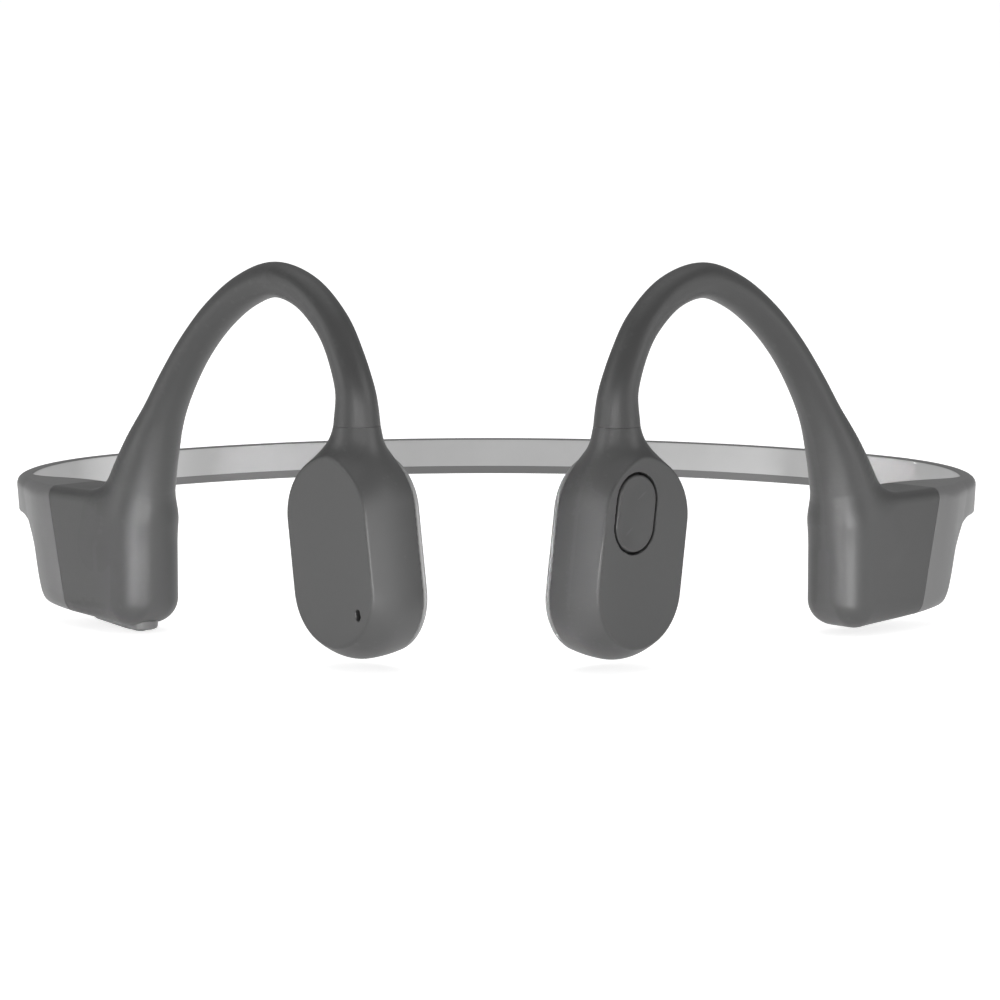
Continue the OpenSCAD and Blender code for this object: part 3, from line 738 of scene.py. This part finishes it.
def shell_field(side):
    """Distance from a transducer's housing with its neck, as a function of x, y and z."""
    rim = PUCK_INNER - PAD_THICK - GASKET_THICK

    def field(x, y, z):
        px, pz = to_puck(x, z)
        # The wall swells from the outer face's crisp edge, then draws in a little to the pad
        out = (1 - np.clip((y - PUCK_OUTER) / WIDEST_AT, 0, 1)) ** 2
        back = np.clip((y - PUCK_OUTER - WIDEST_AT) / (rim - PUCK_OUTER - WIDEST_AT), 0, 1) ** 2
        width, height, cx, cz = (
            w + out * (f - w) + back * (r - w) for f, w, r in zip(FACE, WIDEST, RIM))
        radius = width / 2
        over = np.maximum(np.abs(pz - cz) - (height / 2 - radius), 0)
        body = np.sqrt((px - cx) ** 2 + over * over) - radius
        neck = np.maximum(neck_field(x, y, z), 20 - z)
        both = smooth_min(body, neck, NECK_FILLET)
        both = round_max(both, PUCK_OUTER - y, 0.15)
        both = np.maximum(both, y - rim)
        cx, cz, w, h = BUTTON if side == "left" else MICROPHONE
        gap = BUTTON_GAP if side == "left" else 0
        hole = stadium(px - cx, pz - cz, w + 2 * gap, h + 2 * gap)
        return np.maximum(both, -np.maximum(hole, y - (PUCK_OUTER + HOLE_DEPTH)))

    return field


def make_shell(side):
    voxel = 0.15
    low, high = (-9.5, PUCK_OUTER - 0.6, 1.0), (10.5, PUCK_INNER, SEAM_Z + 0.8)
    field = shell_field(side)
    closed = surface(lambda x, y, z: np.maximum(field(x, y, z), z - SEAM_Z - 0.6), low, high, voxel)
    bm = to_bmesh(*closed)
    cut_at(bm, list(bm.verts) + list(bm.edges) + list(bm.faces), (0, 0, SEAM_Z - 0.03), (0, 0, 1))
    points, faces = from_bmesh(bm)
    obj = mesh_object(f"{side}_housing", arm_to_world(points, side), faces, side == "right")
    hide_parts(f"{side}_transducer_shell")
    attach(obj, f"{side}_arm")
    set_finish(obj, "dark_plastic")
    return obj


def stadium_ring(width, height, n):
    """Points round an upright stadium."""
    r = width / 2
    ring = []
    for k in range(n):
        a = 2 * math.pi * k / n
        ring.append((r * math.cos(a), r * math.sin(a)
                     + math.copysign(height / 2 - r, math.sin(a + 1e-9))))
    return ring


def stack(name, width, height, profile, to_world, n=96):
    """A closed stadium block whose outline follows (inset, level) steps."""
    rings = []
    for inset, y in profile:
        outline = stadium_ring(width - 2 * inset, height - 2 * inset, n)
        rings.append([(x, y, z) for x, z in outline])
    world = to_world([p for ring in rings for p in ring])
    return mesh_object(name, world, make_outward(world, ring_faces(rings)))


def quarter_turn(steps):
    """Sine and cosine at even steps over a quarter turn."""
    angles = [math.pi / 2 * k / steps for k in range(steps + 1)]
    return [(math.sin(a), math.cos(a)) for a in angles]


def edge_profile(low, high, radius):
    """(inset, level) steps of a block with both edges rounded."""
    arc = quarter_turn(5)
    profile = [(radius * (1 - s), low + radius * (1 - c)) for s, c in arc]
    return profile + [(radius * (1 - c), high - radius * (1 - s)) for s, c in arc]


def make_pad(side):
    profile = edge_profile(PUCK_INNER - PAD_THICK, PUCK_INNER, PAD_EDGE)
    obj = stack(f"{side}_pad", PAD_WIDTH, PAD_HEIGHT, profile,
                lambda p: arm_to_world(puck_to_arm(p), side), 128)
    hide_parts(f"{side}_contact_pad")
    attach(obj, f"{side}_arm")
    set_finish(obj, "pad_silicone")
    return obj


def make_button():
    cx, cz, w, h = BUTTON
    # Its foot, its rounded edge, and a face that is dished towards the middle
    profile = [(0, PUCK_OUTER + BUTTON_FOOT)]
    for s, c in quarter_turn(6):
        profile.append((BUTTON_EDGE * (1 - c), PUCK_OUTER + 0.2 - BUTTON_EDGE * s))
    for k in range(1, 7):
        s = k / 6
        dish = BUTTON_DISH * math.sin(s * math.pi / 2)
        profile.append((BUTTON_EDGE + BUTTON_DISH_WIDTH * s, PUCK_OUTER - 0.1 + dish))

    def to_world(points):
        moved = np.asarray(points, float) + np.array([cx, 0, cz])
        return arm_to_world(puck_to_arm(moved), "left")

    obj = stack("function_button_cap", w, h, profile, to_world)
    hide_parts("multifunction_button")
    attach(obj, "function_button")
    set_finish(obj, "button_plastic")
    return obj


# ---------------------------------------------------------------- volume keys
# Distance between the keys, a key's length and width, and how far its cap stands out
KEY_PITCH = 5.1
KEY = (2.8, 2.2)
KEY_DROP = 0.85
KEY_EDGE = 0.35
# Levels of a key's shoulder, of its top, and of the nub
KEY_SHOULDER = (0.72, 2.2, 2.5)
# How far the shoulder stands out round the cap, and how far the nub stands back
KEY_FLANGE = 0.25
NUB_INSET = 0.4
# Length and width of the hollow for a shoulder
KEY_HOLLOW = (3.6, 3.2)
BEZEL_GAP = 0.06
BEZEL_PROUD = 0.45
BEZEL_EDGE = 0.25
LIGHT_HOLE_RADIUS = 0.42


def make_key(name, body, sign):
    """A key with a rounded cap, the shoulder that holds it and the nub that presses its switch."""
    profile = [(KEY_EDGE * (1 - s), KEY_EDGE * (1 - c) - KEY_DROP) for s, c in quarter_turn(5)]
    shoulder, top, nub = KEY_SHOULDER
    profile += [(0, shoulder), (-KEY_FLANGE, shoulder), (-KEY_FLANGE, top),
                (NUB_INSET, top), (NUB_INSET, nub)]

    def to_world(points):
        p = np.asarray(points, float)
        c, s = math.cos(KEY_TILT), math.sin(KEY_TILT)
        along, up = p[:, 2] + sign * KEY_PITCH / 2, p[:, 1]
        x = KEY_CENTRE + c * along - s * up
        z = float(underside(KEY_CENTRE)) + s * along + c * up
        return arm_to_world(np.stack([x, p[:, 0], z], 1), "right")

    obj = stack(f"{name}_cap", KEY[1], KEY[0], profile, to_world, 48)
    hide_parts(f"{name}_key")
    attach(obj, body)
    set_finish(obj, "button_plastic")
    return obj


def bezel_field(x, y, z):
    """Distance from the keys' bezel: a rim round the keys, and a block in the slot above it."""
    kx, kz = to_keys(x, z)
    rim = stadium(y, kx, BEZEL[1] - BEZEL_GAP, BEZEL[0] - BEZEL_GAP)
    rim = round_max(rim, -BEZEL_PROUD - kz, BEZEL_EDGE)
    rim = np.maximum(rim, kz - 0.7)
    box = stadium(y, kx, KEY_SLOT[1] - BEZEL_GAP, KEY_SLOT[0] - BEZEL_GAP)
    box = np.maximum(box, np.maximum(kz - 2, -kz))
    solid = np.minimum(rim, box)
    solid = np.maximum(solid, LIGHT_HOLE_RADIUS - np.hypot(kx, y))
    for sign in (-1, 1):
        at = kx - sign * KEY_PITCH / 2
        hole = np.minimum(stadium(y, at, KEY[1] + 0.3, KEY[0] + 0.3),
                          np.maximum(stadium(y, at, KEY_HOLLOW[1], KEY_HOLLOW[0]), 0.6 - kz))
        solid = np.maximum(solid, -hole)
    return solid


def make_bezel():
    voxel = 0.1
    low = (KEY_CENTRE - 5.6, -2.8, POD_LOW - 0.9)
    high = (KEY_CENTRE + 5.6, 2.8, POD_LOW + 3.4)
    points, quads = surface(bezel_field, low, high, voxel, 2)
    obj = mesh_object("key_rim", arm_to_world(points, "right"), quads.tolist(), True)
    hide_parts("key_bezel")
    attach(obj, "right_arm")
    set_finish(obj, "bezel_plastic")
    return obj


# ---------------------------------------------------------------- materials
def srgb(value):
    return value / 12.92 if value <= 0.04045 else ((value + 0.055) / 1.055) ** 2.4


def grey(value, tint=0.0):
    """A grey of that 8-bit display value, a little blue when tint is positive."""
    v = srgb(value / 255)
    return (v * (1 - tint), v, v * (1 + tint), 1.0)


def node(tree, kind, **inputs):
    made = tree.nodes.new(kind)
    for key, value in inputs.items():
        made.inputs[key.replace("_", " ")].default_value = value
    return made


# Scale of the soft mottling, how much it changes the roughness, and the strength of the grain
CLOUD_SCALE = 160.0
ROUGHNESS_SWING = 0.07
GRAIN_STRENGTH = 0.35
# Pointiness at which an edge starts to look worn, and at which it is fully worn
WEAR_FROM, WEAR_TO = 0.5, 0.62


def moulded(name, colour, roughness, grain, grain_depth, mottle=0.06, metallic=0.0, wear=0.0,
            painted_lit_inner=None):
    """Moulded or metal surface: fine grain in the bump, soft mottling in colour and roughness."""
    material = bpy.data.materials.new(name)
    material.use_nodes = True
    tree = material.node_tree
    tree.nodes.clear()
    output = tree.nodes.new("ShaderNodeOutputMaterial")
    shader = tree.nodes.new("ShaderNodeBsdfPrincipled")
    tree.links.new(shader.outputs[0], output.inputs[0])
    shader.inputs["Metallic"].default_value = metallic
    where = tree.nodes.new("ShaderNodeTexCoord")
    cloud = node(tree, "ShaderNodeTexNoise", Scale=CLOUD_SCALE, Detail=4.0, Roughness=0.6)
    tree.links.new(where.outputs["Object"], cloud.inputs["Vector"])
    shade = tree.nodes.new("ShaderNodeMapRange")
    shade.inputs["To Min"].default_value = 1 - mottle
    shade.inputs["To Max"].default_value = 1 + mottle
    tree.links.new(cloud.outputs["Fac"], shade.inputs["Value"])
    tone = tree.nodes.new("ShaderNodeVectorMath")
    tone.operation = "SCALE"
    tone.inputs[0].default_value = colour[:3]
    # Painted light: where the "tone" attribute is set, the colour turns to the lighter grey that
    # stands in for light on the band's inner face
    if painted_lit_inner:
        part = tree.nodes.new("ShaderNodeAttribute")
        part.attribute_name = "tone"
        pair = tree.nodes.new("ShaderNodeMix")
        pair.data_type = "VECTOR"
        pair.inputs["A"].default_value = colour[:3]
        pair.inputs["B"].default_value = painted_lit_inner[:3]
        tree.links.new(part.outputs["Fac"], pair.inputs["Factor"])
        tree.links.new(pair.outputs["Result"], tone.inputs[0])
    tree.links.new(shade.outputs[0], tone.inputs["Scale"])
    last = tone.outputs[0]
    if wear:
        geometry = tree.nodes.new("ShaderNodeNewGeometry")
        edge = tree.nodes.new("ShaderNodeMapRange")
        edge.inputs["From Min"].default_value = WEAR_FROM
        edge.inputs["From Max"].default_value = WEAR_TO
        edge.inputs["To Max"].default_value = wear
        tree.links.new(geometry.outputs["Pointiness"], edge.inputs["Value"])
        lift = tree.nodes.new("ShaderNodeMix")
        lift.data_type = "RGBA"
        lift.inputs["B"].default_value = tuple(min(c * 1.8 + 0.02, 1) for c in colour[:3]) + (1,)
        tree.links.new(edge.outputs[0], lift.inputs["Factor"])
        tree.links.new(last, lift.inputs["A"])
        last = lift.outputs["Result"]
    tree.links.new(last, shader.inputs["Base Color"])
    rough = tree.nodes.new("ShaderNodeMapRange")
    rough.inputs["To Min"].default_value = roughness - ROUGHNESS_SWING
    rough.inputs["To Max"].default_value = roughness + ROUGHNESS_SWING
    tree.links.new(cloud.outputs["Fac"], rough.inputs["Value"])
    tree.links.new(rough.outputs[0], shader.inputs["Roughness"])
    fine = node(tree, "ShaderNodeTexNoise", Scale=grain, Detail=3.0, Roughness=0.55)
    tree.links.new(where.outputs["Object"], fine.inputs["Vector"])
    bump = tree.nodes.new("ShaderNodeBump")
    bump.inputs["Strength"].default_value = GRAIN_STRENGTH
    bump.inputs["Distance"].default_value = grain_depth
    tree.links.new(fine.outputs["Fac"], bump.inputs["Height"])
    tree.links.new(bump.outputs[0], shader.inputs["Normal"])
    return material


MATERIALS = {
    "hook_silicone": moulded("hook_silicone", grey(52), 0.45, 9000, 0.00003, wear=0.12),
    # The band's lighter inner grey is painted light, for the strong light on its inner face
    "band_silicone": moulded("band_silicone", grey(92), 0.45, 9000, 0.00003, painted_lit_inner=grey(172)),
    "pad_silicone": moulded("pad_silicone", grey(112), 0.5, 8000, 0.00002),
    "dark_plastic": moulded("dark_plastic", grey(53), 0.45, 7000, 0.00003, wear=0.12),
    "button_plastic": moulded("button_plastic", grey(49), 0.42, 7000, 0.00003, wear=0.3),
    "bezel_plastic": moulded("bezel_plastic", grey(80), 0.42, 7000, 0.00003, wear=0.3),
    "spring_wire": moulded("spring_wire", grey(190), 0.3, 3000, 0.00001, metallic=1.0),
    "lead_jacket": moulded("lead_jacket", grey(35), 0.45, 4000, 0.00001),
    "seal_rubber": moulded("seal_rubber", grey(28), 0.6, 6000, 0.00002),
    "steel": moulded("steel", grey(185), 0.32, 2500, 0.00001, metallic=1.0),
    "magnet": moulded("magnet", grey(178), 0.22, 2500, 0.00001, metallic=1.0),
    "copper": moulded("copper", (0.6, 0.22, 0.08, 1), 0.3, 5000, 0.00005, metallic=1.0),
    "spring_brass": moulded("spring_brass", (0.7, 0.45, 0.16, 1), 0.3, 2500, 0.00001, metallic=1.0),
    "inner_plastic": moulded("inner_plastic", grey(205), 0.45, 5000, 0.00002),
    "switch_metal": moulded("switch_metal", grey(200), 0.3, 3000, 0.00001, metallic=1.0),
    "circuit_board": moulded("circuit_board", (0.012, 0.11, 0.04, 1), 0.35, 1500, 0.00003, 0.3),
    "battery_foil": moulded("battery_foil", grey(190, 0.05), 0.35, 900, 0.00006, metallic=0.8),
    "shield_metal": moulded("shield_metal", grey(200), 0.35, 2500, 0.00001, metallic=1.0),
    "gold": moulded("gold", (0.85, 0.55, 0.18, 1), 0.25, 3000, 0.00001, metallic=1.0),
    "light_plastic": moulded("light_plastic", grey(215), 0.3, 3000, 0.00001),
    "port_plastic": moulded("port_plastic", grey(45), 0.35, 5000, 0.00001),
    "mesh_metal": moulded("mesh_metal", grey(60), 0.4, 3500, 0.00008, metallic=1.0),
}


def dress(obj, slot):
    obj.data.materials.clear()
    obj.data.materials.append(MATERIALS[slot])


# ---------------------------------------------------------------- stage
FLOOR_HALF = 30.0
FLOOR_GLOW = 0.7
SURROUND = 0.42
# Size of the boxes at the sides, and of the narrow ones in front
SIDE_BOX = (0.35, 0.5)
NARROW_BOX = (0.02, 0.02)


def area_light(name, location, aim, size, power, spread=180):
    data = bpy.data.lights.new(name, "AREA")
    data.shape = "RECTANGLE"
    data.size, data.size_y = size
    data.energy = power
    data.spread = math.radians(spread)
    light = bpy.data.objects.new(name, data)
    light.location = location
    light.visible_camera = False
    light.rotation_euler = (Vector(aim) - Vector(location)).to_track_quat("-Z", "Y").to_euler()
    bpy.context.scene.collection.objects.link(light)


def make_world(strength):
    """A white surround that lights the set at the given strength, and looks white itself."""
    world = bpy.data.worlds.new("world")
    bpy.context.scene.world = world
    world.use_nodes = True
    tree = world.node_tree
    surround = tree.nodes["Background"]
    surround.inputs["Color"].default_value = (1, 1, 1, 1)
    path = tree.nodes.new("ShaderNodeLightPath")
    share = tree.nodes.new("ShaderNodeMath")
    share.operation = "MULTIPLY_ADD"
    share.inputs[1].default_value = 1 - strength
    share.inputs[2].default_value = strength
    tree.links.new(path.outputs["Is Camera Ray"], share.inputs[0])
    tree.links.new(share.outputs[0], surround.inputs["Strength"])


def make_stage():
    mesh = bpy.data.meshes.new("floor")
    half = FLOOR_HALF
    mesh.from_pydata([(-half, -half, 0), (half, -half, 0), (half, half, 0), (-half, half, 0)],
                     [], [(0, 1, 2, 3)])
    floor = new_object("floor", mesh)
    paper = moulded("floor", grey(225), 0.8, 300, 0.00005, mottle=0.004)
    shader = paper.node_tree.nodes["Principled BSDF"]
    shader.inputs["Emission Color"].default_value = (1, 1, 1, 1)
    shader.inputs["Emission Strength"].default_value = FLOOR_GLOW
    floor.data.materials.append(paper)
    make_world(SURROUND)
    area_light("left_box", (-0.7, -0.22, 0.2), (0, 0, 0.02), SIDE_BOX, 1.7)
    area_light("right_box", (0.7, -0.22, 0.2), (0, 0, 0.02), SIDE_BOX, 1.5)
    area_light("front_box", (-0.006, -0.16, 0.0), (0, 0, 0.01), (0.05, 0.05), 0.1)
    # A narrow box on each pod's front ridge, and one on the wall of each transducer
    for side in (-1, 1):
        area_light("ridge_box", (side * 0.05, -0.25, 0.01), (side * 0.046, -0.02, 0.006),
                   NARROW_BOX, 0.003, 14)
        area_light("wall_box", (side * 0.1, -0.2, 0.01), (side * -0.015, -0.042, 0.013),
                   NARROW_BOX, 0.0018, 11)
    area_light("top_box", (0, 0.1, 0.9), (0, 0, 0), (0.9, 0.9), 2.6)


# ---------------------------------------------------------------- build
def build():
    made = [make_hook(side) for side in SIDES]
    made += [make_cover(side) for side in SIDES]
    made += make_band()
    for side in SIDES:
        made.append(make_shell(side))
        made.append(make_pad(side))
    made.append(make_button())
    made.append(make_key("volume_up", "volume_up", 1))
    made.append(make_key("volume_down", "volume_down", -1))
    made.append(make_bezel())
    for obj in made:
        dress(obj, obj["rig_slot"])
    slots = {s["node"]: s["material_slot"] for s in frame["record"]["subparts"]}
    for name, obj in NODES.items():
        dress(obj, slots[name])


build()
make_stage()
bpy.context.scene.view_settings.view_transform = "Standard"
